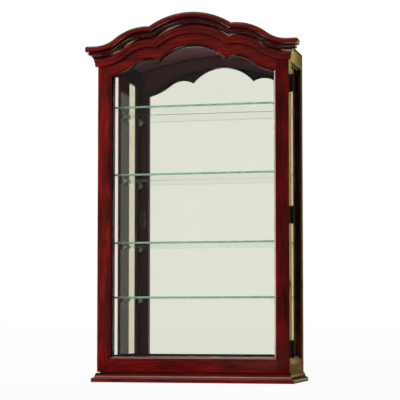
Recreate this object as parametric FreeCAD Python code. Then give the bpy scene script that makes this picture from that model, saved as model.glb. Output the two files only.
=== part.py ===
import FreeCAD, Part
import math
import os

# A glazed display case with a crowned, arched door on three side hinges.
# Millimetres. +X is to the viewer's right, +Y runs from the door to the back, +Z is up.
# The origin is under the middle of the whole case, on the surface that it stands on.

V = FreeCAD.Vector
os.makedirs("parts", exist_ok=True)

# Case and door, overall
case_width = 503.0
case_depth = 171.0
side_height = 828.5
door_thickness = 24.0
door_gap = 2.0
door_lift = 2.0

# Side frames
side_thickness = 19.0
front_stile_width = 37.0
rear_stile_width = 53.0
side_top_rail_height = 36.0
side_bottom_rail_height = 36.5
side_flange_thickness = 6.5
stile_rebate = 31.0
rail_rebate = 8.0
side_bead = 5.0

# Glass, mirror and back
pane_thickness = 3.0
mirror_thickness = 3.0
back_thickness = 3.0
back_recess = 7.0
mirror_step = 4.5
back_step = 11.0
glass_clearance = 0.5
roof_rise = 40.0
roof_thickness = 12.0

# Floor, bearers and base
floor_thickness = 12.0
bearer_height = 24.5
bearer_thickness = 19.0
base_height = 23.5
base_projection = 12.5
base_stock_width = 38.0
base_board_thickness = 12.0
base_edge_height = 9.0
base_bead_height = 1.8
base_cove_top = 20.5
base_top_fillet = 2.5

# Door frame
door_stile_width = 40.0
door_bottom_rail_height = 40.0
sticking_width = 8.5
sticking_depth = 7.5
sticking_quirk = 1.2
door_lip = 10.0
door_rabbet = 7.0
door_board_drop = 3.0

# Crown: its outline is a centre lobe, two side lobes and two hollows, all arcs
crown_projection = 27.5
crown_height = 50.0
crown_end_rise = 13.5
centre_lobe_rise = 78.2
centre_lobe_radius = 196.0
side_lobe_rise = 46.5
side_lobe_radius = 140.0
side_lobe_inset = 136.5
rail_face_height = 25.5
crown_return_lap = 6.0

# Crown section: heights above its lower edge and projections from the door face
frieze_foot = 6.0
frieze_belly = 6.6
frieze_head = 6.8
frieze_height = 11.0
fillet_projection = 8.5
fillet_height = 14.0
cove_projection = 17.5
cove_height = 28.0
bead_projection = 21.0
bead_height = 33.5
quirk_projection = 19.0
quirk_height = 36.0
fascia_foot = 26.0
fascia_head = 25.5
fascia_belly_share = 0.45

# Shelves and their supports
shelf_tops = (219.5, 361.0, 538.5, 715.0)
shelf_thickness = 5.0
shelf_front_setback = 14.0
shelf_rear_gap = 2.0
shelf_side_gap = 1.5
support_reach = 9.0
support_width = 10.0
support_height = 9.0
support_lip = 2.0
support_root = 2.5
support_pin_radius = 2.5
support_pin_length = 5.5
support_pin_drop = 5.0
support_front_place = 18.5
support_rear_place = 20.0
pin_clearance = 0.05

# Hinges
lower_hinge_rise = 62.0
upper_hinge_drop = 93.0
middle_hinge_shift = 1.75
hinge_names = ("lower", "middle", "upper")
hinge_length = 42.0
hinge_leaf_thickness = 1.5
case_screw_inset = 3.7
door_leaf_width = 19.0
knuckle_radius = 3.2
knuckle_gap = 0.3
knuckle_standoff = 0.3
hinge_pin_radius = 1.6
hinge_pin_clearance = 0.05
hinge_pin_head_radius = 2.8
hinge_pin_head_height = 2.4
hinge_screw_spacing = 26.0

# Screws
screw_head_radius = 3.0
screw_head_height = 1.3
screw_neck_radius = 2.0
screw_shank_radius = 1.5
screw_length = 12.0
screw_hole_clearance = 0.1
screw_slot_width = 0.8
screw_slot_depth = 0.6

# Catch and bumpers
catch_height_above_floor = 380.0
catch_length = 45.0
catch_width = 12.0
catch_depth = 13.0
catch_screw_spacing = 28.0
catch_screw_bite = 5.0
strike_length = 38.0
strike_width = 10.0
strike_thickness = 1.2
bumper_radius = 5.0
bumper_thickness = 1.6
bumper_end_distance = 30.0

# Rails and hangers on the back
hanging_rail_height = 70.0
hanging_rail_drop = 14.0
lower_rail_height = 60.0
back_screw_count = 4
hanger_spacing = 380.0
hanger_width = 24.0
hanger_height = 48.0
hanger_thickness = 2.0
hanger_sink = 1.5
hanger_entry_radius = 4.5
hanger_slot_width = 4.6
hanger_slot_length = 14.0
hanger_entry_drop = 5.0
hanger_pocket_width = 12.0
hanger_screw_spacing = 38.0
hanger_screw_length = 5.0

# Places that follow from the sizes above
half_width = case_width / 2
inner_half = half_width - side_thickness
overall_depth = crown_projection + door_thickness + door_gap + case_depth
crown_front = -overall_depth / 2
door_front = crown_front + crown_projection
door_back = door_front + door_thickness
case_front = door_back + door_gap
case_rear = case_front + case_depth
side_top = base_height + side_height
back_panel_rear = case_rear - back_recess
mirror_rear = back_panel_rear - back_thickness
mirror_front = mirror_rear - mirror_thickness
floor_top = base_height + bearer_height + floor_thickness
door_bottom = base_height + door_lift
lip_bottom = door_bottom + door_bottom_rail_height
open_half = half_width - door_stile_width
bead_half = open_half + sticking_width
lip_offset = crown_height + rail_face_height + sticking_width
crown_end_top = side_top + crown_end_rise
centre_z = crown_end_top + centre_lobe_rise - centre_lobe_radius
lobe_x = half_width - side_lobe_inset
lobe_z = crown_end_top + side_lobe_rise - side_lobe_radius
end_over_lobe = crown_end_top - lobe_z
hollow_radius = (side_lobe_inset ** 2 + end_over_lobe ** 2 - side_lobe_radius ** 2) / (
    2 * (side_lobe_radius - end_over_lobe))
hollow_z = crown_end_top + hollow_radius
bend_angle = math.atan2(side_lobe_inset, hollow_z - lobe_z)
pin_x = half_width + knuckle_radius + knuckle_standoff
pin_y = (door_back + case_front) / 2
front_stile_rear = case_front + front_stile_width
rear_stile_front = case_rear - rear_stile_width
lower_hinge_z = base_height + lower_hinge_rise
upper_hinge_z = side_top - upper_hinge_drop
middle_hinge_z = (lower_hinge_z + upper_hinge_z) / 2 + middle_hinge_shift
hinge_heights = (lower_hinge_z, middle_hinge_z, upper_hinge_z)


def save(name, *solids):
    """Writes one node. Several solids make a group of separate pieces."""
    shape = solids[0] if len(solids) == 1 else Part.makeCompound(list(solids))
    shape.exportStep("parts/" + name + ".step")


def block(x0, x1, y0, y1, z0, z1):
    return Part.makeBox(x1 - x0, y1 - y0, z1 - z0, V(x0, y0, z0))


def mirrored(shape):
    """The same piece on the other side of the case."""
    return shape.mirror(V(0, 0, 0), V(1, 0, 0))


def prism(points, push):
    """A closed outline of straight lines, pushed along a vector."""
    wire = Part.makePolygon(points + [points[0]])
    return Part.Face(wire).extrude(push)


def front_prism(points, y0, y1):
    """An outline of (x, z) points, pushed from y0 to y1."""
    return prism([V(x, y0, z) for x, z in points], V(0, y1 - y0, 0))


def arc_edge(start, middle, end):
    return Part.Arc(start, middle, end).toShape()


def line_edge(start, end):
    return Part.LineSegment(start, end).toShape()


def edge_prism(edges, push):
    """A closed outline of lines and arcs in order, pushed along a vector."""
    return Part.Face(Part.Wire(edges)).extrude(push)


def cusp(offset):
    """Where the centre lobe meets the right side lobe, at an offset inside the outline."""
    centre_r = centre_lobe_radius - offset
    lobe_r = side_lobe_radius - offset
    rise = lobe_z - centre_z
    apart = math.hypot(lobe_x, rise)
    along = (apart ** 2 + centre_r ** 2 - lobe_r ** 2) / (2 * apart)
    across = math.sqrt(centre_r ** 2 - along ** 2)
    return (lobe_x * along - rise * across) / apart, centre_z + (rise * along + lobe_x * across) / apart


def hollow_angle(x, offset):
    """Angle from straight down, about the hollow's centre, of the outline at x."""
    return math.asin((half_width - x) / (hollow_radius + offset))


def hollow_height(x, offset):
    return hollow_z - (hollow_radius + offset) * math.cos(hollow_angle(x, offset))


def on_lobe(angle, offset, y):
    radius = side_lobe_radius - offset
    return V(lobe_x + radius * math.sin(angle), y, lobe_z + radius * math.cos(angle))


def on_hollow(angle, offset, y):
    radius = hollow_radius + offset
    return V(half_width - radius * math.sin(angle), y, hollow_z - radius * math.cos(angle))


def flipped(point):
    return V(-point.x, point.y, point.z)


def arch_edges(offset, x_end, y):
    """The scalloped outline from -x_end to x_end, at an offset inside the crown's top edge."""
    cusp_x, cusp_z = cusp(offset)
    tip = V(cusp_x, y, cusp_z)
    lobe_start = math.atan2(cusp_x - lobe_x, cusp_z - lobe_z)
    bend = on_lobe(bend_angle, offset, y)
    end_angle = hollow_angle(x_end, offset)
    end = on_hollow(end_angle, offset, y)
    lobe_middle = on_lobe((lobe_start + bend_angle) / 2, offset, y)
    hollow_middle = on_hollow((bend_angle + end_angle) / 2, offset, y)
    apex = V(0, y, centre_z + centre_lobe_radius - offset)
    return [
        arc_edge(flipped(end), flipped(hollow_middle), flipped(bend)),
        arc_edge(flipped(bend), flipped(lobe_middle), flipped(tip)),
        arc_edge(flipped(tip), apex, tip),
        arc_edge(tip, lobe_middle, bend),
        arc_edge(bend, hollow_middle, end),
    ]


def scalloped_prism(offset, x_end, bottom, y0, y1):
    """A board with straight sides, a straight foot and the scalloped top."""
    top = hollow_height(x_end, offset)
    corners = [V(x_end, y0, top), V(x_end, y0, bottom), V(-x_end, y0, bottom), V(-x_end, y0, top)]
    sides = [line_edge(corners[i], corners[i + 1]) for i in range(len(corners) - 1)]
    return edge_prism(arch_edges(offset, x_end, y0) + sides, V(0, y1 - y0, 0))


def domed_panel(half, bottom, arc_z, arc_radius, y0, y1):
    """A panel with one round arc as its top. arc_z is the height of the arc's centre."""
    spring = arc_z + math.sqrt(arc_radius ** 2 - half ** 2)
    corners = [V(half, y0, spring), V(half, y0, bottom), V(-half, y0, bottom), V(-half, y0, spring)]
    sides = [line_edge(corners[i], corners[i + 1]) for i in range(len(corners) - 1)]
    top = arc_edge(corners[-1], V(0, y0, arc_z + arc_radius), corners[0])
    return edge_prism(sides + [top], V(0, y1 - y0, 0))


def turned(face, x, z, start, end):
    """Turns a section about a front-to-back axis at (x, z), between angles from the vertical."""
    face = face.copy()
    face.rotate(V(0, 0, 0), V(0, 1, 0), math.degrees(start))
    solid = face.revolve(V(0, 0, 0), V(0, 1, 0), math.degrees(end - start))
    solid.translate(V(x, 0, z))
    return solid


def screw(place, inward, length=screw_length):
    """A slotted screw with its head on place and its shank running inward."""
    outward = inward * -1
    head = Part.makeCone(screw_head_radius, screw_neck_radius, screw_head_height, place, outward)
    slot = Part.makeBox(screw_head_radius * 2, screw_slot_width, screw_slot_depth)
    slot.translate(V(-screw_head_radius, -screw_slot_width / 2, screw_head_height - screw_slot_depth))
    slot.Placement = FreeCAD.Placement(place, FreeCAD.Rotation(V(0, 0, 1), outward)).multiply(slot.Placement)
    shank = Part.makeCylinder(screw_shank_radius, length, place, inward)
    return head.cut(slot).fuse(shank).removeSplitter()


def screw_hole(place, inward, length=screw_length):
    radius = screw_shank_radius + screw_hole_clearance
    return Part.makeCylinder(radius, length + screw_hole_clearance, place, inward)


def cut_all(shape, tools):
    for tool in tools:
        shape = shape.cut(tool)
    return shape


# Hinges, which fix the holes in the stiles. The door leaf lies on the door's outer edge,
# and the case leaf on the front edge of the side, in the gap behind the door.
hinge_case_screws = []
hinge_door_screws = []
case_hinge_holes = []
door_hinge_holes = []
hinge_pins = []
leaf_face_x = half_width + hinge_leaf_thickness
leaf_face_y = case_front - hinge_leaf_thickness
into_side = V(-1, 0, 0)
into_edge = V(0, 1, 0)
knuckle_length = (hinge_length - 2 * knuckle_gap) / 3
knuckle_room = knuckle_radius + knuckle_gap


def with_knuckles(leaf, tongue_ends, z_low, knuckles):
    """A leaf plate with its tongues curled round the pin. tongue_ends are x0, x1, y0, y1."""
    for index in knuckles:
        foot = z_low + index * (knuckle_length + knuckle_gap)
        barrel = Part.makeCylinder(knuckle_radius, knuckle_length, V(pin_x, pin_y, foot))
        leaf = leaf.fuse(block(*tongue_ends, foot, foot + knuckle_length)).fuse(barrel)
    bore_radius = hinge_pin_radius + hinge_pin_clearance
    bore = Part.makeCylinder(bore_radius, hinge_length, V(pin_x, pin_y, z_low))
    return leaf.cut(bore).removeSplitter()


def sunk_head(place, outward):
    """The round pocket that lets a screw head lie flush."""
    return Part.makeCylinder(screw_head_radius + screw_hole_clearance, screw_head_height, place, outward)


for name, height in zip(hinge_names, hinge_heights):
    z_low = height - hinge_length / 2
    z_high = z_low + hinge_length
    door_near = pin_y - knuckle_room
    door_leaf = block(half_width, leaf_face_x, door_near - door_leaf_width, door_near, z_low, z_high)
    door_leaf = with_knuckles(door_leaf, (half_width, leaf_face_x, door_near, pin_y), z_low, (1,))
    case_leaf = block(inner_half, half_width, leaf_face_y, case_front, z_low, z_high)
    case_leaf = with_knuckles(case_leaf, (half_width, pin_x, leaf_face_y, case_front), z_low, (0, 2))
    for step in (-0.5, 0.5):
        z_screw = height + step * hinge_screw_spacing
        case_place = V(inner_half + case_screw_inset, leaf_face_y + screw_head_height, z_screw)
        door_place = V(leaf_face_x, door_near - door_leaf_width / 2, z_screw)
        hinge_case_screws.append(screw(case_place, into_edge))
        hinge_door_screws.append(screw(door_place, into_side))
        case_hinge_holes.append(screw_hole(case_place, into_edge))
        door_hinge_holes.append(screw_hole(door_place, into_side))
        case_leaf = case_leaf.cut(sunk_head(case_place, into_edge * -1))
    save("hinge_" + name + "_case_leaf", cut_all(case_leaf, case_hinge_holes))
    save("hinge_" + name + "_door_leaf", cut_all(door_leaf, door_hinge_holes))
    pin = Part.makeCylinder(hinge_pin_radius, hinge_length, V(pin_x, pin_y, z_low))
    for end, direction in ((z_low, V(0, 0, -1)), (z_high, V(0, 0, 1))):
        knob = Part.makeCone(hinge_pin_head_radius, hinge_pin_radius, hinge_pin_head_height,
                             V(pin_x, pin_y, end), direction)
        pin = pin.fuse(knob)
    hinge_pins.append(pin.removeSplitter())
save("hinge_pins", *hinge_pins)
save("hinge_case_screws", *hinge_case_screws)
save("hinge_door_screws", *hinge_door_screws)

# Shelves on clear supports that plug into the stiles
shelf_front = case_front + shelf_front_setback
shelf_rear = mirror_front - shelf_rear_gap
shelf_half = inner_half - shelf_side_gap
support_ys = (case_front + support_front_place, rear_stile_front + support_rear_place)
support_holes = []
supports = []
for number, top in enumerate(shelf_tops, start=1):
    underside = top - shelf_thickness
    shelf = block(-shelf_half, shelf_half, shelf_front, shelf_rear, underside, top)
    save("shelf_" + str(number), shelf)
    for y in support_ys:
        start = y - support_width / 2
        outline = [(0, 0), (-support_reach, 0), (-support_reach, -support_lip),
                   (-support_root, -support_height), (0, -support_height)]
        corners = [(inner_half + x, underside + z) for x, z in outline]
        paddle = front_prism(corners, start, start + support_width)
        pin_place = V(inner_half, y, underside - support_pin_drop)
        peg = Part.makeCylinder(support_pin_radius, support_pin_length, pin_place, V(1, 0, 0))
        support = paddle.fuse(peg).removeSplitter()
        hole = Part.makeCylinder(support_pin_radius + pin_clearance, support_pin_length + pin_clearance,
                                 pin_place, V(1, 0, 0))
        supports += [support, mirrored(support)]
        support_holes.append(hole)
save("shelf_supports", *supports)

# Catch on the left front stile, at the free edge of the door
catch_z = floor_top + catch_height_above_floor
catch_inner = -inner_half + catch_width
catch = block(-inner_half, catch_inner, case_front, case_front + catch_depth,
              catch_z - catch_length / 2, catch_z + catch_length / 2)
catch_screws = []
catch_holes = []
for step in (-0.5, 0.5):
    place = V(catch_inner, case_front + catch_depth / 2, catch_z + step * catch_screw_spacing)
    long_screw = catch_width + catch_screw_bite
    catch_screws.append(screw(place, V(-1, 0, 0), long_screw))
    catch_holes.append(screw_hole(place, V(-1, 0, 0), long_screw))
save("magnetic_catch", cut_all(catch, catch_holes))
save("catch_screws", *catch_screws)

# Bumpers on the left front edge of the case
bumper_x = -half_width + side_thickness / 2
bumper_zs = (base_height + bumper_end_distance, side_top - bumper_end_distance)
bumpers = [Part.makeCylinder(bumper_radius, bumper_thickness, V(bumper_x, case_front, z), V(0, -1, 0))
           for z in bumper_zs]
save("door_bumpers", *bumpers)

# Screws that hold the back panel to the rear stiles
back_screw_x = half_width - side_thickness + (mirror_step + back_step) / 2
back_screw_span = side_height - hanging_rail_height - hanging_rail_drop - lower_rail_height
back_screws = []
back_holes = []
for index in range(back_screw_count):
    z = base_height + lower_rail_height + back_screw_span * (index + 0.5) / back_screw_count
    place = V(back_screw_x, back_panel_rear, z)
    back_screws += [screw(place, V(0, -1, 0)), mirrored(screw(place, V(0, -1, 0)))]
    back_holes.append(screw_hole(place, V(0, -1, 0)))
save("back_panel_screws", *back_screws)

# Side frames: right side built in place, left side mirrored. Each stile is rebated from the outside,
# which leaves a thin flange on the inside. The rails lap over the flanges, and the pane lies in the rebate.
side_lip_bottom = base_height + side_bottom_rail_height
side_lip_top = side_top - side_top_rail_height
flange_outer = inner_half + side_flange_thickness
pane_outer = flange_outer + pane_thickness
bead_outer = pane_outer + side_bead
rebate_front = front_stile_rear - stile_rebate
rebate_rear = rear_stile_front + stile_rebate
side_rebate = block(flange_outer, half_width, rebate_front, rebate_rear, base_height, side_top)
mirror_room = block(inner_half, inner_half + mirror_step, mirror_front, case_rear, base_height, side_top)
back_room = block(inner_half, inner_half + back_step, mirror_rear, case_rear, base_height, side_top)

front_stile = block(inner_half, half_width, case_front, front_stile_rear, base_height, side_top)
front_stile = cut_all(front_stile, [side_rebate] + support_holes)
rear_stile = block(inner_half, half_width, rear_stile_front, case_rear, base_height, side_top)
rear_stile = cut_all(rear_stile, [side_rebate, mirror_room, back_room] + support_holes + back_holes)


def lapped_rail(lap_bottom, lap_top, flange_bottom, flange_top):
    """A side rail: its outer part laps over the stiles' flanges, its own flange ends between them."""
    lap = block(flange_outer, half_width, rebate_front, rebate_rear, lap_bottom, lap_top)
    flange = block(inner_half, flange_outer, front_stile_rear, rear_stile_front, flange_bottom, flange_top)
    return lap.fuse(flange).removeSplitter()


top_rail = lapped_rail(side_lip_top, side_top, side_lip_top - rail_rebate, side_top)
bottom_rail = lapped_rail(base_height, side_lip_bottom, base_height, side_lip_bottom + rail_rebate)
side_glass = block(flange_outer, pane_outer, rebate_front + glass_clearance, rebate_rear - glass_clearance,
                   side_lip_bottom, side_lip_top - glass_clearance)
bead_front = rebate_front + side_bead
bead_rear = rebate_rear - side_bead
side_stops = [
    block(pane_outer, bead_outer, rebate_front, bead_front, side_lip_bottom, side_lip_top),
    block(pane_outer, bead_outer, bead_rear, rebate_rear, side_lip_bottom, side_lip_top),
    block(pane_outer, bead_outer, bead_front, bead_rear, side_lip_bottom, side_lip_bottom + side_bead),
    block(pane_outer, bead_outer, bead_front, bead_rear, side_lip_top - side_bead, side_lip_top),
]

save("right_front_stile", cut_all(front_stile, case_hinge_holes))
save("left_front_stile", cut_all(mirrored(front_stile), catch_holes))
for name, piece in (("rear_stile", rear_stile), ("top_rail", top_rail), ("bottom_rail", bottom_rail),
                    ("side_glass", side_glass)):
    save("right_" + name, piece)
    save("left_" + name, mirrored(piece))
save("right_glass_stops", *side_stops)
save("left_glass_stops", *[mirrored(stop) for stop in side_stops])

# Roof: an arched panel with flat seats on the side frames
roof_radius = (inner_half ** 2 + roof_rise ** 2) / (2 * roof_rise)
roof_z = side_top + roof_rise - roof_radius
roof = domed_panel(half_width, side_top, roof_z, roof_radius + roof_thickness, case_front, case_rear)
roof = roof.cut(domed_panel(inner_half, side_top - roof_rise, roof_z, roof_radius, case_front, case_rear))
save("roof_panel", roof)

# Mirror and back panel, domed to fit under the roof
dome_radius = roof_radius - glass_clearance
mirror_half = inner_half + mirror_step - glass_clearance
back_half = inner_half + back_step - glass_clearance
save("mirror", domed_panel(mirror_half, base_height, roof_z, dome_radius, mirror_front, mirror_rear))
back_panel = domed_panel(back_half, base_height, roof_z, dome_radius, mirror_rear, back_panel_rear)
save("back_panel", cut_all(back_panel, back_holes + [mirrored(hole) for hole in back_holes]))

# Rails and keyhole hangers in the recess behind the back panel
rail_top = side_top - hanging_rail_drop
rail_bottom = rail_top - hanging_rail_height
hanging_rail = block(-back_half, back_half, back_panel_rear, case_rear, rail_bottom, rail_top)
lower_rail_top = base_height + lower_rail_height
lower_rail = block(-back_half, back_half, back_panel_rear, case_rear, base_height, lower_rail_top)
hangers = []
hanger_screws = []
plate_rear = case_rear - hanger_sink
plate_front = plate_rear - hanger_thickness
plate_z = (rail_bottom + rail_top) / 2
entry_z = plate_z - hanger_entry_drop
to_wall = V(0, 1, 0)
for side in (-0.5, 0.5):
    x = side * hanger_spacing
    plate = block(x - hanger_width / 2, x + hanger_width / 2, plate_front, plate_rear,
                  plate_z - hanger_height / 2, plate_z + hanger_height / 2)
    seat = block(x - hanger_width / 2, x + hanger_width / 2, plate_front, case_rear,
                 plate_z - hanger_height / 2, plate_z + hanger_height / 2)
    pocket = block(x - hanger_pocket_width / 2, x + hanger_pocket_width / 2, back_panel_rear, plate_front,
                   entry_z - hanger_pocket_width / 2, entry_z + hanger_slot_length)
    entry = Part.makeCylinder(hanger_entry_radius, hanger_thickness, V(x, plate_front, entry_z), to_wall)
    slot = block(x - hanger_slot_width / 2, x + hanger_slot_width / 2, plate_front, plate_rear,
                 entry_z, entry_z + hanger_slot_length)
    hanging_rail = hanging_rail.cut(seat).cut(pocket)
    plate = plate.cut(entry).cut(slot)
    for step in (-0.5, 0.5):
        place = V(x, plate_rear, plate_z + step * hanger_screw_spacing)
        hole = screw_hole(place, V(0, -1, 0), hanger_screw_length)
        plate = plate.cut(hole)
        hanging_rail = hanging_rail.cut(hole)
        hanger_screws.append(screw(place, V(0, -1, 0), hanger_screw_length))
    hangers.append(plate)
save("hanging_rail", hanging_rail)
save("lower_back_rail", lower_rail)
save("keyhole_hangers", *hangers)
save("hanger_screws", *hanger_screws)

# Floor on two bearers
bearer_top = base_height + bearer_height
save("floor_front_bearer", block(-inner_half, inner_half, case_front, case_front + bearer_thickness,
                                 base_height, bearer_top))
save("floor_rear_bearer", block(-inner_half, inner_half, mirror_front - bearer_thickness, mirror_front,
                                base_height, bearer_top))
save("floor_panel", block(-inner_half, inner_half, case_front, mirror_front, bearer_top, floor_top))


# Base: three mitred mouldings round a board
def base_section(place):
    """The base moulding's section. place turns (projection, height) into a point."""
    inner = base_projection - base_stock_width
    bead_foot = base_projection
    bead_head = base_projection - base_bead_height
    cove_head = base_top_fillet + base_bead_height
    bead_top = base_edge_height + base_bead_height
    bead_turn = base_bead_height * (1 - math.sqrt(0.5))
    cove_turn_p = cove_head + (bead_head - cove_head) * (1 - math.sqrt(0.5))
    cove_turn_z = base_cove_top - (base_cove_top - bead_top) * math.sqrt(0.5)
    return [
        line_edge(place(inner, 0), place(bead_foot, 0)),
        line_edge(place(bead_foot, 0), place(bead_foot, base_edge_height)),
        arc_edge(place(bead_foot, base_edge_height), place(bead_foot - bead_turn, bead_top - bead_turn),
                 place(bead_head, bead_top)),
        arc_edge(place(bead_head, bead_top), place(cove_turn_p, cove_turn_z),
                 place(cove_head, base_cove_top)),
        line_edge(place(cove_head, base_cove_top), place(base_top_fillet, base_cove_top)),
        line_edge(place(base_top_fillet, base_cove_top), place(base_top_fillet, base_height)),
        line_edge(place(base_top_fillet, base_height), place(inner, base_height)),
        line_edge(place(inner, base_height), place(inner, 0)),
    ]


base_outer = half_width + base_projection
base_front = door_front - base_projection
mitre_wedge = prism([V(base_outer, base_front, 0),
                     V(base_outer - base_stock_width, base_front + base_stock_width, 0),
                     V(base_outer - base_stock_width, case_rear, 0),
                     V(base_outer, case_rear, 0)], V(0, 0, base_height))
front_moulding = edge_prism(base_section(lambda p, z: V(-base_outer, door_front - p, z)),
                            V(2 * base_outer, 0, 0))
front_moulding = front_moulding.cut(mitre_wedge).cut(mirrored(mitre_wedge))
side_moulding = edge_prism(base_section(lambda p, z: V(half_width + p, base_front, z)),
                           V(0, case_rear - base_front, 0)).common(mitre_wedge)
save("base_front_moulding", front_moulding)
save("base_right_moulding", side_moulding)
save("base_left_moulding", mirrored(side_moulding))
board_half = base_outer - base_stock_width
save("base_board", block(-board_half, board_half, base_front + base_stock_width, case_rear,
                         base_height - base_board_thickness, base_height))

# Door frame, with its inner edge moulded and mitred at the corners
outline = scalloped_prism(door_board_drop, half_width, door_bottom, door_front, door_back)
opening = scalloped_prism(lip_offset, open_half, lip_bottom, door_front, door_back)
stile_top = crown_end_top + centre_lobe_rise
lip_corner = hollow_height(open_half, lip_offset)
bead_corner = hollow_height(bead_half, lip_offset - sticking_width)
stile_points = [(bead_half, door_bottom), (half_width, door_bottom),
                (half_width, stile_top), (bead_half, stile_top), (bead_half, bead_corner),
                (open_half, lip_corner), (open_half, lip_bottom), (bead_half, lip_bottom - sticking_width)]
stile_blank = front_prism(stile_points, door_front, door_back).common(outline)
rail_blank = front_prism([(-bead_half, door_bottom), (bead_half, door_bottom),
                          (bead_half, lip_bottom - sticking_width), (open_half, lip_bottom),
                          (-open_half, lip_bottom), (-bead_half, lip_bottom - sticking_width)],
                         door_front, door_back)
arch_blank = outline.common(block(-bead_half, bead_half, door_front, door_back, lip_corner, stile_top))
arch_blank = cut_all(arch_blank, [opening, stile_blank, mirrored(stile_blank)])


def sticking_section(place):
    """What the moulded inner edge takes away. place turns (distance from the lip, depth) into a point."""
    clear = sticking_quirk
    turn = math.sqrt(0.5)
    middle = place(sticking_width * (1 - turn), sticking_depth - (sticking_depth - sticking_quirk) * turn)
    edges = [
        line_edge(place(-clear, sticking_depth), place(-clear, -clear)),
        line_edge(place(-clear, -clear), place(sticking_width, -clear)),
        line_edge(place(sticking_width, -clear), place(sticking_width, sticking_quirk)),
        arc_edge(place(sticking_width, sticking_quirk), middle, place(0, sticking_depth)),
        line_edge(place(0, sticking_depth), place(-clear, sticking_depth)),
    ]
    return Part.Face(Part.Wire(edges))


stile_sticking = sticking_section(lambda e, t: V(open_half + e, door_front + t, door_bottom))
stile_sticking = stile_sticking.extrude(V(0, 0, stile_top - door_bottom))
rail_sticking = sticking_section(lambda e, t: V(-half_width, door_front + t, lip_bottom - e))
rail_sticking = rail_sticking.extrude(V(case_width, 0, 0))
lip_cusp_x, lip_cusp_z = cusp(lip_offset)
centre_turn = math.atan2(lip_cusp_x, lip_cusp_z - centre_z)
lobe_turn = math.atan2(lip_cusp_x - lobe_x, lip_cusp_z - lobe_z)
hollow_end = hollow_angle(bead_half, lip_offset)
centre_cut = sticking_section(lambda e, t: V(0, door_front + t, centre_lobe_radius - lip_offset + e))
lobe_cut = sticking_section(lambda e, t: V(0, door_front + t, side_lobe_radius - lip_offset + e))
hollow_cut = sticking_section(lambda e, t: V(0, door_front + t, -(hollow_radius + lip_offset - e)))
lobe_sticking = turned(lobe_cut, lobe_x, lobe_z, lobe_turn, bend_angle)
hollow_sticking = turned(hollow_cut, half_width, hollow_z, hollow_end, bend_angle)
arch_sticking = [turned(centre_cut, 0, centre_z, -centre_turn, centre_turn), lobe_sticking, hollow_sticking,
                 mirrored(lobe_sticking), mirrored(hollow_sticking)]

# The glass lies in a rabbet with one round arc over the scallops
rabbet_half = open_half + door_rabbet
rabbet_bottom = lip_bottom - door_rabbet
rabbet_apex = centre_z + centre_lobe_radius - lip_offset + door_rabbet
rabbet_spring = lip_corner + door_rabbet
rabbet_sag = rabbet_apex - rabbet_spring
rabbet_radius = (rabbet_half ** 2 + rabbet_sag ** 2) / (2 * rabbet_sag)
rabbet_arc_z = rabbet_apex - rabbet_radius
glass_front = door_front + door_lip
glass_rear = glass_front + pane_thickness
rabbet = domed_panel(rabbet_half, rabbet_bottom, rabbet_arc_z, rabbet_radius, glass_front, door_back)

strike_x = -inner_half + catch_width - strike_width
strike = block(strike_x, strike_x + strike_width, door_back, door_back + strike_thickness,
               catch_z - strike_length / 2, catch_z + strike_length / 2)
strike_screw_place = V(strike_x + strike_width / 2, door_back + strike_thickness - screw_head_height, catch_z)
strike_pocket = sunk_head(strike_screw_place, V(0, 1, 0))
strike_hole = screw_hole(strike_screw_place, V(0, -1, 0))
save("catch_strike", strike.cut(strike_pocket))
save("strike_screw", screw(strike_screw_place, V(0, -1, 0)))

right_stile = cut_all(stile_blank, [stile_sticking, rabbet])
left_stile = mirrored(right_stile)
save("door_right_stile", cut_all(right_stile, door_hinge_holes))
save("door_left_stile", left_stile.cut(strike_hole).cut(strike_pocket))
save("door_bottom_rail", cut_all(rail_blank, [rail_sticking, rabbet]))
save("door_top_rail", arch_blank.cut(arch_sticking + [rabbet]))
save("door_glass", domed_panel(rabbet_half - glass_clearance, rabbet_bottom + glass_clearance, rabbet_arc_z,
                               rabbet_radius - glass_clearance, glass_front, glass_rear))

stop_ring = domed_panel(rabbet_half, rabbet_bottom, rabbet_arc_z, rabbet_radius, glass_rear, door_back)
stop_ring = stop_ring.cut(domed_panel(open_half, lip_bottom, rabbet_arc_z, rabbet_radius - door_rabbet,
                                      glass_rear, door_back))
bottom_stop_room = block(-half_width, half_width, door_front, door_back, door_bottom, lip_bottom)
side_stop_room = block(0, half_width, door_front, door_back, lip_bottom, lip_corner)
arch_stop_room = block(-half_width, half_width, door_front, door_back, lip_corner, stile_top)
right_stop = stop_ring.common(side_stop_room)
save("door_glass_stops", stop_ring.common(bottom_stop_room), right_stop, mirrored(right_stop),
     stop_ring.common(arch_stop_room))


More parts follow.
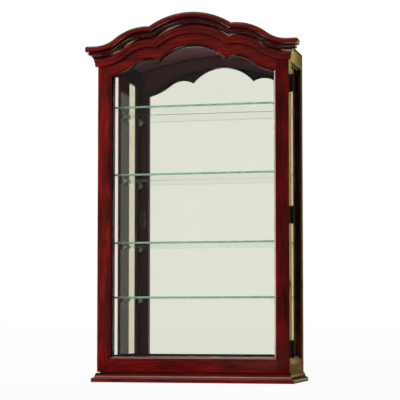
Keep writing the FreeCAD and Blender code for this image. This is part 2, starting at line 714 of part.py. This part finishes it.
# Crown
def crown_section(place):
    """The crown's section. place turns (projection, height above the lower edge) into a point."""
    cove_rise = cove_height - fillet_height
    cove_run = cove_projection - fillet_projection
    cove_radius = (cove_run ** 2 + cove_rise ** 2) / (2 * cove_run)
    cove_turn = math.asin(cove_rise / cove_radius) / 2
    cove_middle = place(fillet_projection + cove_radius * (1 - math.cos(cove_turn)),
                        fillet_height + cove_radius * math.sin(cove_turn))
    fascia_middle = place(crown_projection, quirk_height + (crown_height - quirk_height) * fascia_belly_share)
    edges = [
        line_edge(place(0, 0), place(frieze_foot, 0)),
        arc_edge(place(frieze_foot, 0), place(frieze_belly, frieze_height / 2),
                 place(frieze_head, frieze_height)),
        line_edge(place(frieze_head, frieze_height), place(fillet_projection, frieze_height)),
        line_edge(place(fillet_projection, frieze_height), place(fillet_projection, fillet_height)),
        arc_edge(place(fillet_projection, fillet_height), cove_middle, place(cove_projection, cove_height)),
        arc_edge(place(cove_projection, cove_height), place(bead_projection, (cove_height + bead_height) / 2),
                 place(quirk_projection, bead_height)),
        line_edge(place(quirk_projection, bead_height), place(quirk_projection, quirk_height)),
        line_edge(place(quirk_projection, quirk_height), place(fascia_foot, quirk_height)),
        arc_edge(place(fascia_foot, quirk_height), fascia_middle, place(fascia_head, crown_height)),
        line_edge(place(fascia_head, crown_height), place(0, crown_height)),
        line_edge(place(0, crown_height), place(0, 0)),
    ]
    return Part.Face(Part.Wire(edges))


top_cusp_x, top_cusp_z = cusp(0)
low_cusp_x, low_cusp_z = cusp(crown_height)
cusp_lean = (top_cusp_x - low_cusp_x) / (top_cusp_z - low_cusp_z)


def mitre_x(z):
    """The straight mitre through the cusps of the crown's upper and lower edges."""
    return low_cusp_x + (z - low_cusp_z) * cusp_lean


wedge_low = low_cusp_z - crown_height
wedge_high = top_cusp_z + crown_height
centre_wedge = front_prism([(-mitre_x(wedge_low), wedge_low), (mitre_x(wedge_low), wedge_low),
                            (mitre_x(wedge_high), wedge_high), (-mitre_x(wedge_high), wedge_high)],
                           crown_front - crown_projection, door_back)
low_turn = math.atan2(low_cusp_x, low_cusp_z - centre_z)
lobe_start = math.atan2(top_cusp_x - lobe_x, top_cusp_z - lobe_z)
lobe_low_start = math.atan2(low_cusp_x - lobe_x, low_cusp_z - lobe_z)
turn_margin = math.radians(3)
centre_face = crown_section(lambda p, h: V(0, door_front - p, centre_lobe_radius - crown_height + h))
lobe_face = crown_section(lambda p, h: V(0, door_front - p, side_lobe_radius - crown_height + h))
hollow_face = crown_section(lambda p, h: V(0, door_front - p, -(hollow_radius + crown_height - h)))
end_face = crown_section(lambda p, h: V(half_width, door_front - p, crown_end_top - crown_height + h))
return_face = crown_section(lambda p, h: V(half_width + p, crown_front, crown_end_top - crown_height + h))

crown_centre = turned(centre_face, 0, centre_z, -low_turn - turn_margin, low_turn + turn_margin)
crown_centre = crown_centre.common(centre_wedge)
crown_lobe = turned(lobe_face, lobe_x, lobe_z, min(lobe_start, lobe_low_start) - turn_margin, bend_angle)
crown_hollow = turned(hollow_face, half_width, hollow_z, 0, bend_angle)
crown_end = end_face.extrude(V(crown_projection, 0, 0))
return_rear = door_front + crown_return_lap
crown_return = return_face.extrude(V(0, return_rear - crown_front, 0))
return_room = prism([V(half_width, door_front, wedge_low - crown_height),
                     V(half_width + crown_projection, crown_front, wedge_low - crown_height),
                     V(half_width + crown_projection, return_rear, wedge_low - crown_height),
                     V(half_width, return_rear, wedge_low - crown_height)],
                    V(0, 0, wedge_high - wedge_low + crown_height))
crown_side = crown_lobe.cut(centre_wedge).fuse(crown_hollow).fuse(crown_end.cut(return_room)).removeSplitter()
save("crown_centre", crown_centre)
save("crown_right", crown_side)
save("crown_left", mirrored(crown_side))
save("crown_right_return", crown_return.common(return_room))
save("crown_left_return", mirrored(crown_return.common(return_room)))
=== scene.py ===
# %% [markdown]
# # A glazed display case with a crowned door
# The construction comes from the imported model, which is loaded as a fixed frame: nothing in it
# is moved here. This lesson adds the camera, the light and the finishes: red lacquered cherry,
# clear glass, a mirror back, black hinges and plated fittings.

# %% Load the frame
import math

import bpy
import numpy as np
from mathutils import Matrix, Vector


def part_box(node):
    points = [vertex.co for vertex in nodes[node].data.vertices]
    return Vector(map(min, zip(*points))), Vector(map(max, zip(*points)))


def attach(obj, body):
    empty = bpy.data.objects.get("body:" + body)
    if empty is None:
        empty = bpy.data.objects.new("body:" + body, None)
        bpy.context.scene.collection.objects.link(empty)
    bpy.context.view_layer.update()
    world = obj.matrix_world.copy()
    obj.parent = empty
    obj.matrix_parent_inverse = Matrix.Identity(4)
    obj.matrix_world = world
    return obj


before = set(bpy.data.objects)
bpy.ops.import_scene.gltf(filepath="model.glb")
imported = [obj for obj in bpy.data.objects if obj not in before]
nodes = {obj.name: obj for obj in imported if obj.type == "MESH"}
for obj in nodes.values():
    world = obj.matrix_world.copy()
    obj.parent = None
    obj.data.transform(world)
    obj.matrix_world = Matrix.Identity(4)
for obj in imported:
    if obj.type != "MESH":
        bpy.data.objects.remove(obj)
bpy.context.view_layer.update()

scene = bpy.context.scene
scene.view_settings.view_transform = "Standard"
print("pieces in the frame:", len(nodes))

# %% [markdown]
# ## Camera
# The case is seen from a little to its right and from low down, by a long lens. A real
# photographer keeps the uprights parallel by shifting the lens instead of tilting it. A small
# shift and a slight tilt give nearly the same picture, and other views then stay in the frame.

# %% Camera
camera_place = (0.95826, -3.88625, 0.15561)
camera_yaw = 13.8471
camera_pitch = 3.6064
camera_lens = 138.891
camera_shift = 0.06
camera_data = bpy.data.cameras.new("camera")
camera_data.sensor_width = 36
camera_data.lens = camera_lens
camera_data.shift_y = camera_shift
camera = bpy.data.objects.new("camera", camera_data)
camera.location = camera_place
camera.rotation_euler = (math.radians(90 + camera_pitch), 0, math.radians(camera_yaw))
scene.collection.objects.link(camera)
scene.camera = camera
print("camera lens in mm:", round(camera_data.lens, 1))

# %% [markdown]
# ## Building blocks for shader trees
# Every finish is a tree of nodes. A few short helpers keep the trees readable: they make a node
# and fill its inputs with values or links, map and mix values, and make or place a group.


# %% Helpers for shader trees
def fill(tree, made, inputs):
    """Fills the inputs of a node. Each one takes a plain value or a link from another socket."""
    for name, value in dict(inputs).items():
        if isinstance(value, bpy.types.NodeSocket):
            tree.links.new(value, made.inputs[name])
        else:
            made.inputs[name].default_value = value


def node(tree, kind, inputs=(), **settings):
    """Adds one shader node with its inputs filled."""
    made = tree.nodes.new("ShaderNode" + kind)
    for name, value in settings.items():
        setattr(made, name, value)
    fill(tree, made, inputs)
    return made


def maths(tree, operation, *terms):
    """One sum of plain values or sockets."""
    return node(tree, "Math", dict(enumerate(terms)), operation=operation).outputs[0]


def noise(tree, place, scale, detail, **settings):
    """Noise from 0 to 1 at place. scale counts its waves per metre."""
    made = node(tree, "TexNoise", {"Vector": place, "Scale": scale, "Detail": detail, **settings})
    return made.outputs["Fac"]


def object_place(tree):
    """Where a point lies on its piece, in metres."""
    return node(tree, "TexCoord").outputs["Object"]


def object_normal(tree):
    """The way a face looks before its piece is turned, as X, Y and Z."""
    return node(tree, "SeparateXYZ", {"Vector": node(tree, "TexCoord").outputs["Normal"]}).outputs


def spread(tree, value, low, high, to_low, to_high):
    """Maps a range of values onto another range and clamps it."""
    made = node(tree, "MapRange", {"Value": value, "From Min": low, "From Max": high,
                                   "To Min": to_low, "To Max": to_high})
    return made.outputs["Result"]


def blend(tree, factor, first, second, mode="MIX"):
    """Mixes two colours."""
    made = tree.nodes.new("ShaderNodeMix")
    made.data_type = "RGBA"
    made.blend_type = mode
    for name, value in (("Factor_Float", factor), ("A_Color", first), ("B_Color", second)):
        socket = next(s for s in made.inputs if s.identifier == name)
        if isinstance(value, bpy.types.NodeSocket):
            tree.links.new(value, socket)
        else:
            socket.default_value = value if name == "Factor_Float" else (*value, 1)
    return next(s for s in made.outputs if s.identifier == "Result_Color")


def group(name, inputs, outputs):
    """An empty shader group with named sockets: (name, socket type, default)."""
    tree = bpy.data.node_groups.new(name, "ShaderNodeTree")
    for label, kind, value in inputs:
        socket = tree.interface.new_socket(label, in_out="INPUT", socket_type="NodeSocket" + kind)
        if value is not None:
            socket.default_value = value
    for label, kind in outputs:
        tree.interface.new_socket(label, in_out="OUTPUT", socket_type="NodeSocket" + kind)
    return tree, tree.nodes.new("NodeGroupInput").outputs, tree.nodes.new("NodeGroupOutput").inputs


def placed(tree, shared, inputs):
    """A shared group placed in a material, with its own values."""
    made = node(tree, "Group")
    made.node_tree = shared
    fill(tree, made, inputs)
    return made.outputs


def material(name):
    """A new node material, its tree and its Principled node."""
    made = bpy.data.materials.new(name)
    made.use_nodes = True
    return made, made.node_tree, made.node_tree.nodes["Principled BSDF"]


def shown_by(tree, factor, first, second):
    """Makes a mix of two shaders the surface of a material."""
    mixed = node(tree, "MixShader", {0: factor, 1: first.outputs[0], 2: second.outputs[0]})
    tree.links.new(mixed.outputs[0], tree.nodes["Material Output"].inputs["Surface"])


def looked_at(tree):
    """1 for rays from the camera, from a shine and through glass, and 0 for rays that only carry light."""
    path = node(tree, "LightPath").outputs
    seen = maths(tree, "MAXIMUM", path["Is Camera Ray"], path["Is Glossy Ray"])
    return maths(tree, "MAXIMUM", seen, path["Is Transmission Ray"])


def grain_space(tree, along):
    """Object coordinates turned so that X runs along the grain."""
    turn = {"X": (0, 0, 0), "Y": (0, 0, math.pi / 2), "Z": (0, math.pi / 2, 0)}[along]
    return node(tree, "Mapping", {"Vector": object_place(tree), "Rotation": turn}).outputs["Vector"]


print("helpers ready")

# %% [markdown]
# ## Light
# The case stands in a white studio. A large soft panel at the left lights the door, a box above
# it warms the top, and a small strip at the left draws the bright lines in the crown. Gold and
# copper cards behind and beside the case show only in the right side, which is seen at a
# glancing angle. The world and the floor look white to the camera, to the mirror and through
# the glass, but light the case only at a plain level.

# %% World and floor
white = (1.0, 1.0, 1.0, 1.0)
world_level = 0.25
world = bpy.data.worlds.new("studio")
scene.world = world
world.use_nodes = True
sky = world.node_tree
sky.nodes.clear()
bright = node(sky, "Background", {"Color": white, "Strength": 1.0})
plain = node(sky, "Background", {"Color": white, "Strength": world_level})
both = node(sky, "MixShader", {0: looked_at(sky), 1: plain.outputs[0], 2: bright.outputs[0]})
node(sky, "OutputWorld", {"Surface": both.outputs[0]})

floor_reach = 40.0
floor_glow_share = 0.97
floor_mesh = bpy.data.meshes.new("floor")
corners = np.array([(-1, -1, 0), (1, -1, 0), (1, 1, 0), (-1, 1, 0)]) * floor_reach
floor_mesh.from_pydata(corners.tolist(), [], [(0, 1, 2, 3)])
floor = bpy.data.objects.new("floor", floor_mesh)
scene.collection.objects.link(floor)
floor_paint, tree, skin = material("floor_white")
fill(tree, skin, {"Base Color": (0.95, 0.95, 0.95, 1), "Roughness": 0.9})
glow = node(tree, "Emission", {"Color": white, "Strength": 1.0})
shown_by(tree, maths(tree, "MULTIPLY", looked_at(tree), floor_glow_share), skin, glow)
floor_mesh.materials.append(floor_paint)
print("world level on the case:", world_level)


# %% Lamps
def soft_box(name, place, target, size, power, colour=(1, 1, 1)):
    """A rectangular lamp at place that faces target. It isn't seen by the camera itself."""
    data = bpy.data.lights.new(name, "AREA")
    data.shape = "RECTANGLE"
    data.size, data.size_y = size
    data.energy = power
    data.color = colour
    lamp = bpy.data.objects.new(name, data)
    lamp.location = place
    aim = np.array(target) - np.array(place)
    lamp.rotation_euler = (math.atan2(math.hypot(aim[0], aim[1]), -aim[2]), 0, math.atan2(-aim[0], aim[1]))
    lamp.visible_camera = False
    scene.collection.objects.link(lamp)


middle = (0, 0, 0.5)
card_lift = 0.004
soft_box("left_panel", (-2.0, -1.0, 0.55), (0.1, -0.1, 0.5), (1.5, 1.4), 46)
soft_box("top_box", (-0.55, -1.6, 2.5), middle, (0.9, 0.5), 8, (1.0, 0.88, 0.76))
soft_box("low_left_strip", (-0.95, -1.35, 0.3), (0.1, -0.1, 0.88), (0.12, 0.3), 2.6)
soft_box("gold_card", (0.642, 1.6, 0.73), (0.25, 0, 0.63), (0.2, 0.86), 1.2, (1.0, 0.82, 0.22))
soft_box("copper_card", (0.642, 1.6, 0.14), (0.25, 0, 0.1), (0.2, 0.28), 0.32, (1.0, 0.62, 0.22))
soft_box("near_floor_card", (0.31, 0.15, card_lift), (0.31, 0.15, 1), (0.09, 0.5), 0.13, (1.0, 0.78, 0.3))
soft_box("far_floor_card", (0.45, 1.0, card_lift), (0.45, 1.0, 1), (0.3, 1.0), 0.3, (1.0, 0.6, 0.25))

# %% [markdown]
# Dull flags stand and lie round the case, out of the picture. A brown one behind at the right
# keeps the right side, which is seen at a glancing angle, from mirroring the white world. Black
# ones on the floor in front and at the right keep the hollows and shaded mouldings dark. One
# bright strip lies on the floor in front for the low lines of light in the mouldings. It's made
# like a flag, because a lamp would also show in the mirror.


# %% Flags
def flag(name, corners, faces, colour, mirrored, glow=0.0):
    """A dull sheet that isn't seen directly or through glass. A flag that isn't mirrored is also clear to
    sharp mirrors, so that only the blurred shine of the lacquer shows it. glow makes it give light."""
    mesh = bpy.data.meshes.new(name)
    mesh.from_pydata(corners, [], faces)
    sheet = bpy.data.objects.new(name, mesh)
    sheet.visible_camera = False
    sheet.visible_transmission = False
    scene.collection.objects.link(sheet)
    cloth, tree, skin = material(name + "_cloth")
    fill(tree, skin, {"Base Color": (*colour, 1), "Roughness": 1.0, "Specular IOR Level": 0.0})
    if not mirrored:
        sharp = node(tree, "LightPath").outputs["Is Singular Ray"]
        lit = node(tree, "Emission", {"Color": (*colour, 1), "Strength": glow}) if glow else skin
        shown_by(tree, sharp, lit, node(tree, "BsdfTransparent"))
    mesh.materials.append(cloth)


low, tall = 0.002, 2.2
flag("rear_flag", [(-0.3, 1.9, low), (2.2, 1.5, low), (2.2, 1.5, tall), (-0.3, 1.9, tall),
                   (0.26, -0.12, low), (1.0, -0.12, low)],
     [(0, 1, 2, 3), (4, 5, 1, 0)], (0.16, 0.1, 0.035), True)
flag("front_flag", [(-3.0, -3.3, low), (1.6, -3.3, low), (1.6, -0.16, low), (-3.0, -0.16, low),
                    (1.6, -2.6, low), (1.6, 1.2, low), (1.6, 1.2, tall), (1.6, -2.6, tall)],
     [(0, 1, 2, 3), (4, 5, 6, 7)], (0.02, 0.015, 0.012), False)
strip_lift = 0.02
flag("low_front_strip", [(-0.1, -2.8, strip_lift), (0.1, -2.8, strip_lift),
                         (0.1, -0.6, strip_lift), (-0.1, -0.6, strip_lift)],
     [(0, 1, 2, 3)], (1.0, 0.9, 0.74), False, glow=5.06)
print("flags ready")

# %% [markdown]
# ## Lacquered cherry
# The wood is a fine-grained hardwood under a deep red toned lacquer. Streaks run along the
# grain, short dark pores lie in them, and the colour drifts from board to board. Painted shade
# darkens the grooves, the undersides, the turned mouldings and the back faces, and a painted
# highlight lightens the faces that look up. One group holds this, and each way that a board can
# lie places it with the grain turned along that board. Flat faces are rubbed dull, while the
# turned mouldings keep their shine, so the group also tells the two apart.

# %% Wood grain group
grain, given, out = group(
    "lacquered_grain",
    [("Place", "Vector", None), ("Light", "Color", (0.29, 0.009, 0.007, 1)),
     ("Middle", "Color", (0.125, 0.004, 0.004, 1)), ("Dark", "Color", (0.018, 0.001, 0.001, 1)),
     ("Shaded Back", "Color", (0.075, 0.017, 0.028, 1)), ("Painted Top Highlight", "Color", (0.2, 0.085, 0.075, 1)),
     ("Painted Shade Depth", "Float", 0.028), ("Flat Gloss", "Float", 0.1), ("Moulded Gloss", "Float", 1.0),
     ("Moulded Shade", "Float", 0.0), ("Blur", "Float", 1.0), ("Drift", "Float", 0.5)],
    [("Color", "Color"), ("Roughness", "Float"), ("Height", "Float"), ("Gloss", "Float")])


def along_grain(*waves):
    """The place on a board, scaled to waves per metre along and twice across the grain."""
    return node(grain, "Mapping", {"Vector": given["Place"], "Scale": waves}).outputs["Vector"]


streaks = noise(grain, along_grain(14.0, 210.0, 210.0), 1.0, 5.0, Roughness=0.6, Distortion=0.5)
pores = noise(grain, along_grain(22.0, 1100.0, 1100.0), 1.0, 1.0)
mottle = noise(grain, along_grain(11.0, 26.0, 26.0), 1.0, 2.0)
centred = maths(grain, "SUBTRACT", mottle, 0.5)
tone = maths(grain, "MULTIPLY_ADD", centred, given["Drift"], spread(grain, streaks, 0.0, 1.0, 0.45, 1.45))
dark_tone, middle_tone, light_tone = 0.6, 0.94, 1.2
lower = blend(grain, spread(grain, tone, dark_tone, middle_tone, 0.0, 1.0), given["Dark"], given["Middle"])
whole = blend(grain, spread(grain, tone, middle_tone, light_tone, 0.0, 1.0), lower, given["Light"])
whole = blend(grain, spread(grain, pores, 0.58, 0.7, 0.0, 0.6), whole, given["Dark"])
print("grain streaks and pores ready")

# %% Painted shade, painted highlight and shine in the grain group
# Painted shade: grooves, found by occlusion, and faces that look down are darkened towards the dark colour.
hollow = node(grain, "AmbientOcclusion", {"Distance": given["Painted Shade Depth"]}, samples=6, only_local=True)
facing = object_normal(grain)
painted_groove_shade = spread(grain, hollow.outputs["AO"], 0.42, 0.92, 0.97, 0.0)
painted_under_shade = spread(grain, facing["Z"], -0.12, -0.4, 0.0, 0.9)
whole = blend(grain, maths(grain, "MAXIMUM", painted_groove_shade, painted_under_shade), whole, given["Dark"])
level = maths(grain, "ABSOLUTE", facing["Y"])
not_front = spread(grain, level, 0.985, 0.9, 0.0, 1.0)
not_side = spread(grain, level, 0.05, 0.3, 0.0, 1.0)
turned = maths(grain, "MULTIPLY", not_front, not_side)
# Painted shade: the turned mouldings are darkened by the moulded shade amount.
whole = blend(grain, maths(grain, "MULTIPLY", turned, given["Moulded Shade"]), whole, given["Dark"])
# Painted highlight: faces that look up are lightened towards the top highlight colour.
whole = blend(grain, spread(grain, facing["Z"], 0.15, 0.7, 0.0, 0.3), whole, given["Painted Top Highlight"])
# Painted shade: faces that look towards the back, into the case, take the shaded back colour.
whole = blend(grain, spread(grain, facing["Y"], 0.5, 0.9, 0.0, 1.0), whole, given["Shaded Back"])
blur = maths(grain, "MULTIPLY", spread(grain, mottle, 0.3, 0.7, 0.1, 0.17), given["Blur"])
grain.links.new(whole, out["Color"])
grain.links.new(blur, out["Roughness"])
grain.links.new(spread(grain, pores, 0.55, 0.7, 1.0, 0.0), out["Height"])
grain.links.new(spread(grain, turned, 0.0, 1.0, given["Flat Gloss"], given["Moulded Gloss"]), out["Gloss"])
print("grain group nodes:", len(grain.nodes))


# %% Wood materials
painted_joint_shade = (0.012, 0.002, 0.001)
lacquer_tint = (1.0, 0.8, 0.7, 1)
soft_edge, crisp_edge, sharp_edge = 0.0012, 0.0004, 0.0003
moulding_shade_reach = 0.01


def lacquered(name, along, edge=soft_edge, joint_shade_reach=0.0, gloss=None, **settings):
    """Lacquered wood with its grain along one axis of the case. edge is the radius that edges seem to
    have, and joint_shade_reach is how far from other pieces a painted shade reaches, in metres. gloss
    is an even shine all over. Without it, the group's own shine tells flat faces from turned ones."""
    made, tree, skin = material(name)
    values = placed(tree, grain, {"Place": grain_space(tree, along), **settings})
    colour = values["Color"]
    # Painted shade: the colour darkens close to other pieces, where the shadow lines fall.
    if joint_shade_reach:
        near = node(tree, "AmbientOcclusion", {"Distance": joint_shade_reach}, samples=6).outputs["AO"]
        colour = blend(tree, spread(tree, near, 0.55, 0.92, 0.95, 0.0), colour, painted_joint_shade)
    rounded = node(tree, "Bevel", {"Radius": edge}, samples=4).outputs["Normal"]
    bump = node(tree, "Bump", {"Strength": 0.08, "Distance": 0.0004, "Height": values["Height"],
                               "Normal": rounded})
    fill(tree, skin, {"Base Color": colour, "Roughness": values["Roughness"], "Specular Tint": lacquer_tint,
                      "Specular IOR Level": values["Gloss"] if gloss is None else gloss,
                      "Normal": bump.outputs["Normal"]})
    return made


cherry_upright = lacquered("cherry_upright", "Z", **{
    "Light": (0.27, 0.009, 0.007, 1), "Middle": (0.12, 0.004, 0.004, 1), "Drift": 1.1,
    "Moulded Gloss": 0.4, "Moulded Shade": 0.9})
# A darker copy for the right stile: painted shade, as the light comes from the left.
cherry_right_shaded = lacquered("cherry_right_shaded", "Z", **{
    "Light": (0.19, 0.003, 0.005, 1), "Middle": (0.095, 0.002, 0.003, 1), "Drift": 1.1, "Flat Gloss": 0.06})
cherry_across = lacquered("cherry_across", "X")
cherry_arch = lacquered("cherry_arch", "X", joint_shade_reach=moulding_shade_reach, **{
    "Shaded Back": (0.12, 0.03, 0.042, 1), "Moulded Gloss": 0.4, "Moulded Shade": 0.8})
cherry_crown = lacquered("cherry_crown", "X", crisp_edge, moulding_shade_reach, **{
    "Light": (0.34, 0.011, 0.009, 1), "Middle": (0.15, 0.005, 0.005, 1),
    "Moulded Gloss": 0.6, "Moulded Shade": 0.6})
cherry_deep = lacquered("cherry_deep", "Y")
shade = {"Light": (0.05, 0.013, 0.009, 1), "Middle": (0.028, 0.009, 0.007, 1),
         "Dark": (0.01, 0.004, 0.003, 1), "Blur": 0.5}
shade_gloss = 0.05
shaded_upright = lacquered("shaded_upright", "Z", sharp_edge, gloss=shade_gloss, **shade)
# Lighter brown hollows on the right rear stile: painted light where little lamplight reaches.
rear_upright_painted_light = lacquered("rear_upright_painted_light", "Z", sharp_edge, gloss=shade_gloss, **{
    **shade, "Dark": (0.42, 0.16, 0.11, 1)})
shaded_roof = lacquered("shaded_roof", "X", sharp_edge, gloss=shade_gloss, **{
    **shade, "Light": (0.2, 0.05, 0.07, 1), "Middle": (0.17, 0.043, 0.062, 1),
    "Dark": (0.2, 0.05, 0.08, 1), "Blur": 3.0})
shaded_deep = lacquered("shaded_deep", "Y", sharp_edge, **{
    **shade, "Flat Gloss": shade_gloss, "Moulded Gloss": 0.08})
woods = (cherry_upright, cherry_right_shaded, cherry_across, cherry_arch, cherry_crown, cherry_deep,
         shaded_upright, rear_upright_painted_light, shaded_roof, shaded_deep)
print("wood materials:", [wood.name for wood in woods])

# %% [markdown]
# ## Glass
# The panes are clear float glass, and the shelves are thicker, so their ground edges look
# green. The side panes are a little warm, from the light behind them. All panes bend light
# less than real glass does, so that they mirror less of the white around them. Light for the
# inside goes straight through, because light that is bent by a pane would arrive only as noise.


# %% Glass materials
def clear_glass(name, face_colour, edge_colour, edge_axis, bend):
    """Clear glass whose narrow edges are tinted. edge_axis is across the sheet."""
    made, tree, skin = material(name)
    flat = spread(tree, maths(tree, "ABSOLUTE", object_normal(tree)[edge_axis]), 0.4, 0.6, 0.0, 1.0)
    fill(tree, skin, {"Base Color": blend(tree, flat, edge_colour, face_colour), "IOR": bend,
                      "Roughness": spread(tree, flat, 0.0, 1.0, edge_frost, 0.0)})
    skin.inputs["Transmission Weight"].default_value = 1.0
    path = node(tree, "LightPath").outputs
    carries = maths(tree, "MAXIMUM", path["Is Shadow Ray"], path["Is Diffuse Ray"])
    shown_by(tree, carries, skin, node(tree, "BsdfTransparent", {"Color": light_through}))
    return made


light_through = (0.93, 0.96, 0.94, 1)
edge_frost = 0.25
pane_edge = (0.3, 0.55, 0.42)
pane_bend, shelf_bend = 1.17, 1.3
pane_front = clear_glass("pane_front", (0.97, 0.985, 0.975), pane_edge, "Y", pane_bend)
pane_left = clear_glass("pane_left", (1.0, 0.93, 0.8), pane_edge, "X", pane_bend)
pane_right = clear_glass("pane_right", (0.9, 0.8, 0.58), pane_edge, "X", pane_bend)
shelf_glass = clear_glass("shelf_glass", (0.95, 0.985, 0.965), (0.3, 0.62, 0.45), "Z", shelf_bend)
print("glass materials ready")

# %% [markdown]
# ## Mirror
# The back is a silvered mirror with the faint warm green of its glass. It's made perfectly
# sharp, because the flags are clear to sharp mirrors only.

# %% Mirror material
mirror_silver, tree, skin = material("mirror_silver")
haze = noise(tree, object_place(tree), 9.0, 3.0)
silver = blend(tree, haze, (0.77, 0.765, 0.665), (0.81, 0.805, 0.715))
fill(tree, skin, {"Base Color": silver, "Roughness": 0.0})
skin.inputs["Metallic"].default_value = 1.0
print("mirror ready")

# %% [markdown]
# ## Fittings
# The hinges are painted black, the screws and hangers are plated, and the shelves' supports are
# clear plastic. The back is plain brown board, and the pieces out of sight are bare wood.
# They could share one flat paint each, but a fine speckle keeps them from looking like plastic.


# %% Fitting materials
def speckled(name, light, dark, scale, rough, metal=0.0, gloss=0.5):
    """A painted, plated or moulded finish with a fine speckle in colour and gloss."""
    made, tree, skin = material(name)
    specks = noise(tree, object_place(tree), scale, 4.0)
    bump = node(tree, "Bump", {"Strength": 0.1, "Distance": 0.0002, "Height": specks})
    fill(tree, skin, {"Base Color": blend(tree, spread(tree, specks, 0.35, 0.65, 0.0, 1.0), dark, light),
                      "Roughness": spread(tree, specks, 0.3, 0.7, rough + 0.1, rough - 0.1),
                      "Specular IOR Level": gloss, "Normal": bump.outputs["Normal"]})
    skin.inputs["Metallic"].default_value = metal
    return made


black_paint = speckled("black_paint", (0.03, 0.028, 0.026), (0.012, 0.011, 0.011), 900, 0.35, gloss=0.15)
plated_steel = speckled("plated_steel", (0.62, 0.6, 0.55), (0.45, 0.43, 0.4), 700, 0.3, 1.0)
dark_plastic = speckled("dark_plastic", (0.03, 0.022, 0.018), (0.018, 0.013, 0.011), 800, 0.45)
rubber = speckled("rubber", (0.09, 0.085, 0.08), (0.06, 0.055, 0.05), 1200, 0.7)
hardboard = speckled("hardboard", (0.22, 0.13, 0.07), (0.13, 0.075, 0.04), 420, 0.8)
raw_wood = lacquered("raw_wood", "X", gloss=0.1, **{
    "Light": (0.42, 0.24, 0.12, 1), "Middle": (0.3, 0.16, 0.08, 1), "Dark": (0.16, 0.08, 0.04, 1),
    "Shaded Back": (0.32, 0.18, 0.09, 1), "Painted Top Highlight": (0.4, 0.25, 0.14, 1)})
clear_plastic, tree, skin = material("clear_plastic")
cloud = noise(tree, object_place(tree), 300.0, 2.0)
fill(tree, skin, {"Base Color": blend(tree, cloud, (0.85, 0.88, 0.86), (0.95, 0.97, 0.96)),
                  "Roughness": spread(tree, cloud, 0.3, 0.7, 0.25, 0.4), "Specular IOR Level": 0.2})
skin.inputs["Transmission Weight"].default_value = 0.5
print("fittings ready")

# %% [markdown]
# ## Dressing the case
# Each node of the frame takes one finish. A board takes the wood that runs along it, and what
# lies in the shade of the case takes a darker, duller lacquer. A list of names per finish is
# easy to check, and the last line shows any node that was forgotten.

# %% Dress every node
finishes = {
    cherry_upright: ["door_left_stile"],
    cherry_right_shaded: ["door_right_stile"],
    shaded_upright: ["left_front_stile", "left_rear_stile", "right_front_stile",
                     "left_glass_stops", "door_glass_stops"],
    rear_upright_painted_light: ["right_rear_stile", "right_glass_stops"],
    cherry_across: ["door_bottom_rail", "base_front_moulding", "floor_front_bearer"],
    cherry_arch: ["door_top_rail"],
    cherry_crown: ["crown_centre", "crown_left", "crown_right"],
    cherry_deep: ["crown_left_return", "base_left_moulding"],
    shaded_deep: ["left_top_rail", "left_bottom_rail", "right_top_rail", "right_bottom_rail",
                  "floor_panel", "crown_right_return", "base_right_moulding"],
    shaded_roof: ["roof_panel"],
    raw_wood: ["base_board", "floor_rear_bearer", "hanging_rail", "lower_back_rail"],
    hardboard: ["back_panel"],
    pane_front: ["door_glass"],
    pane_left: ["left_side_glass"],
    pane_right: ["right_side_glass"],
    shelf_glass: ["shelf_1", "shelf_2", "shelf_3", "shelf_4"],
    mirror_silver: ["mirror"],
    clear_plastic: ["shelf_supports"],
    black_paint: ["hinge_case_screws", "hinge_door_screws", "hinge_pins"]
    + ["hinge_%s_%s_leaf" % (place, side)
       for place in ("lower", "middle", "upper") for side in ("case", "door")],
    plated_steel: ["back_panel_screws", "catch_screws", "catch_strike", "hanger_screws", "keyhole_hangers",
                   "strike_screw"],
    dark_plastic: ["magnetic_catch"],
    rubber: ["door_bumpers"],
}
for finish, names in finishes.items():
    for name in names:
        slots = nodes[name].data.materials
        slots.clear()
        slots.append(finish)
undressed = sorted(set(nodes) - {name for names in finishes.values() for name in names})
print("nodes without a finish:", undressed)

# %% [markdown]
# ## Rounded shelf edges
# The front edge of each shelf is ground to a half round and looks bright green, because light
# gathers in it from the whole sheet. A flat clear edge would look dark here, so a thin rounded
# nosing with its own frosted finish is laid on each edge. It is a half circle carried along the
# shelf, worked out as one grid of points.


# %% Frosted edge finish
frosted_edge, tree, skin = material("frosted_edge")
cloud = noise(tree, object_place(tree), 60.0, 3.0)
# The bright green is painted light: it stands in for the light that gathers in the glass.
tint = blend(tree, spread(tree, cloud, 0.35, 0.65, 0.0, 1.0), (0.27, 0.55, 0.4), (0.44, 0.76, 0.6))
fill(tree, skin, {"Base Color": tint, "Roughness": spread(tree, cloud, 0.3, 0.7, 0.25, 0.4)})
print("frosted edge ready")


# %% Shelf nosings
def bar_mesh(name, points, finish):
    """A closed bar from points (rows, columns, 3). The columns run round it: corner (i, j) meets
    (i, j + 1) and (i + 1, j), and the last column meets the first. A flat face shuts each end."""
    rows, columns = points.shape[:2]
    index = np.arange(rows * columns).reshape(rows, columns)
    after = np.roll(index, -1, axis=1)
    faces = np.stack([index[:-1], after[:-1], after[1:], index[1:]], axis=-1).reshape(-1, 4).tolist()
    mesh = bpy.data.meshes.new(name)
    ends = [index[0, ::-1].tolist(), index[-1].tolist()]
    mesh.from_pydata(points.reshape(-1, 3).tolist(), [], faces + ends)
    mesh.materials.append(finish)
    piece = bpy.data.objects.new(name, mesh)
    scene.collection.objects.link(piece)
    return piece


def nosing(low, high, steps=24, gap=0.00005):
    """Half a round bar along X: y = front - r sin(a), z = middle + r cos(a), with a from 0 to pi."""
    radius = (high[2] - low[2]) / 2
    angle = np.linspace(0, np.pi, steps)
    points = np.empty((2, steps, 3))
    points[..., 0] = np.array([low[0], high[0]])[:, None]
    points[..., 1] = low[1] - gap - radius * np.sin(angle)
    points[..., 2] = (low[2] + high[2]) / 2 + radius * np.cos(angle)
    return points


for number in (1, 2, 3, 4):
    low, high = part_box("shelf_%d" % number)
    edge = bar_mesh("shelf_%d_edge" % number, nosing(low, high), frosted_edge)
    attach(edge, "case")
    print(edge.name, "is", round((high[0] - low[0]) * 1000), "mm long")
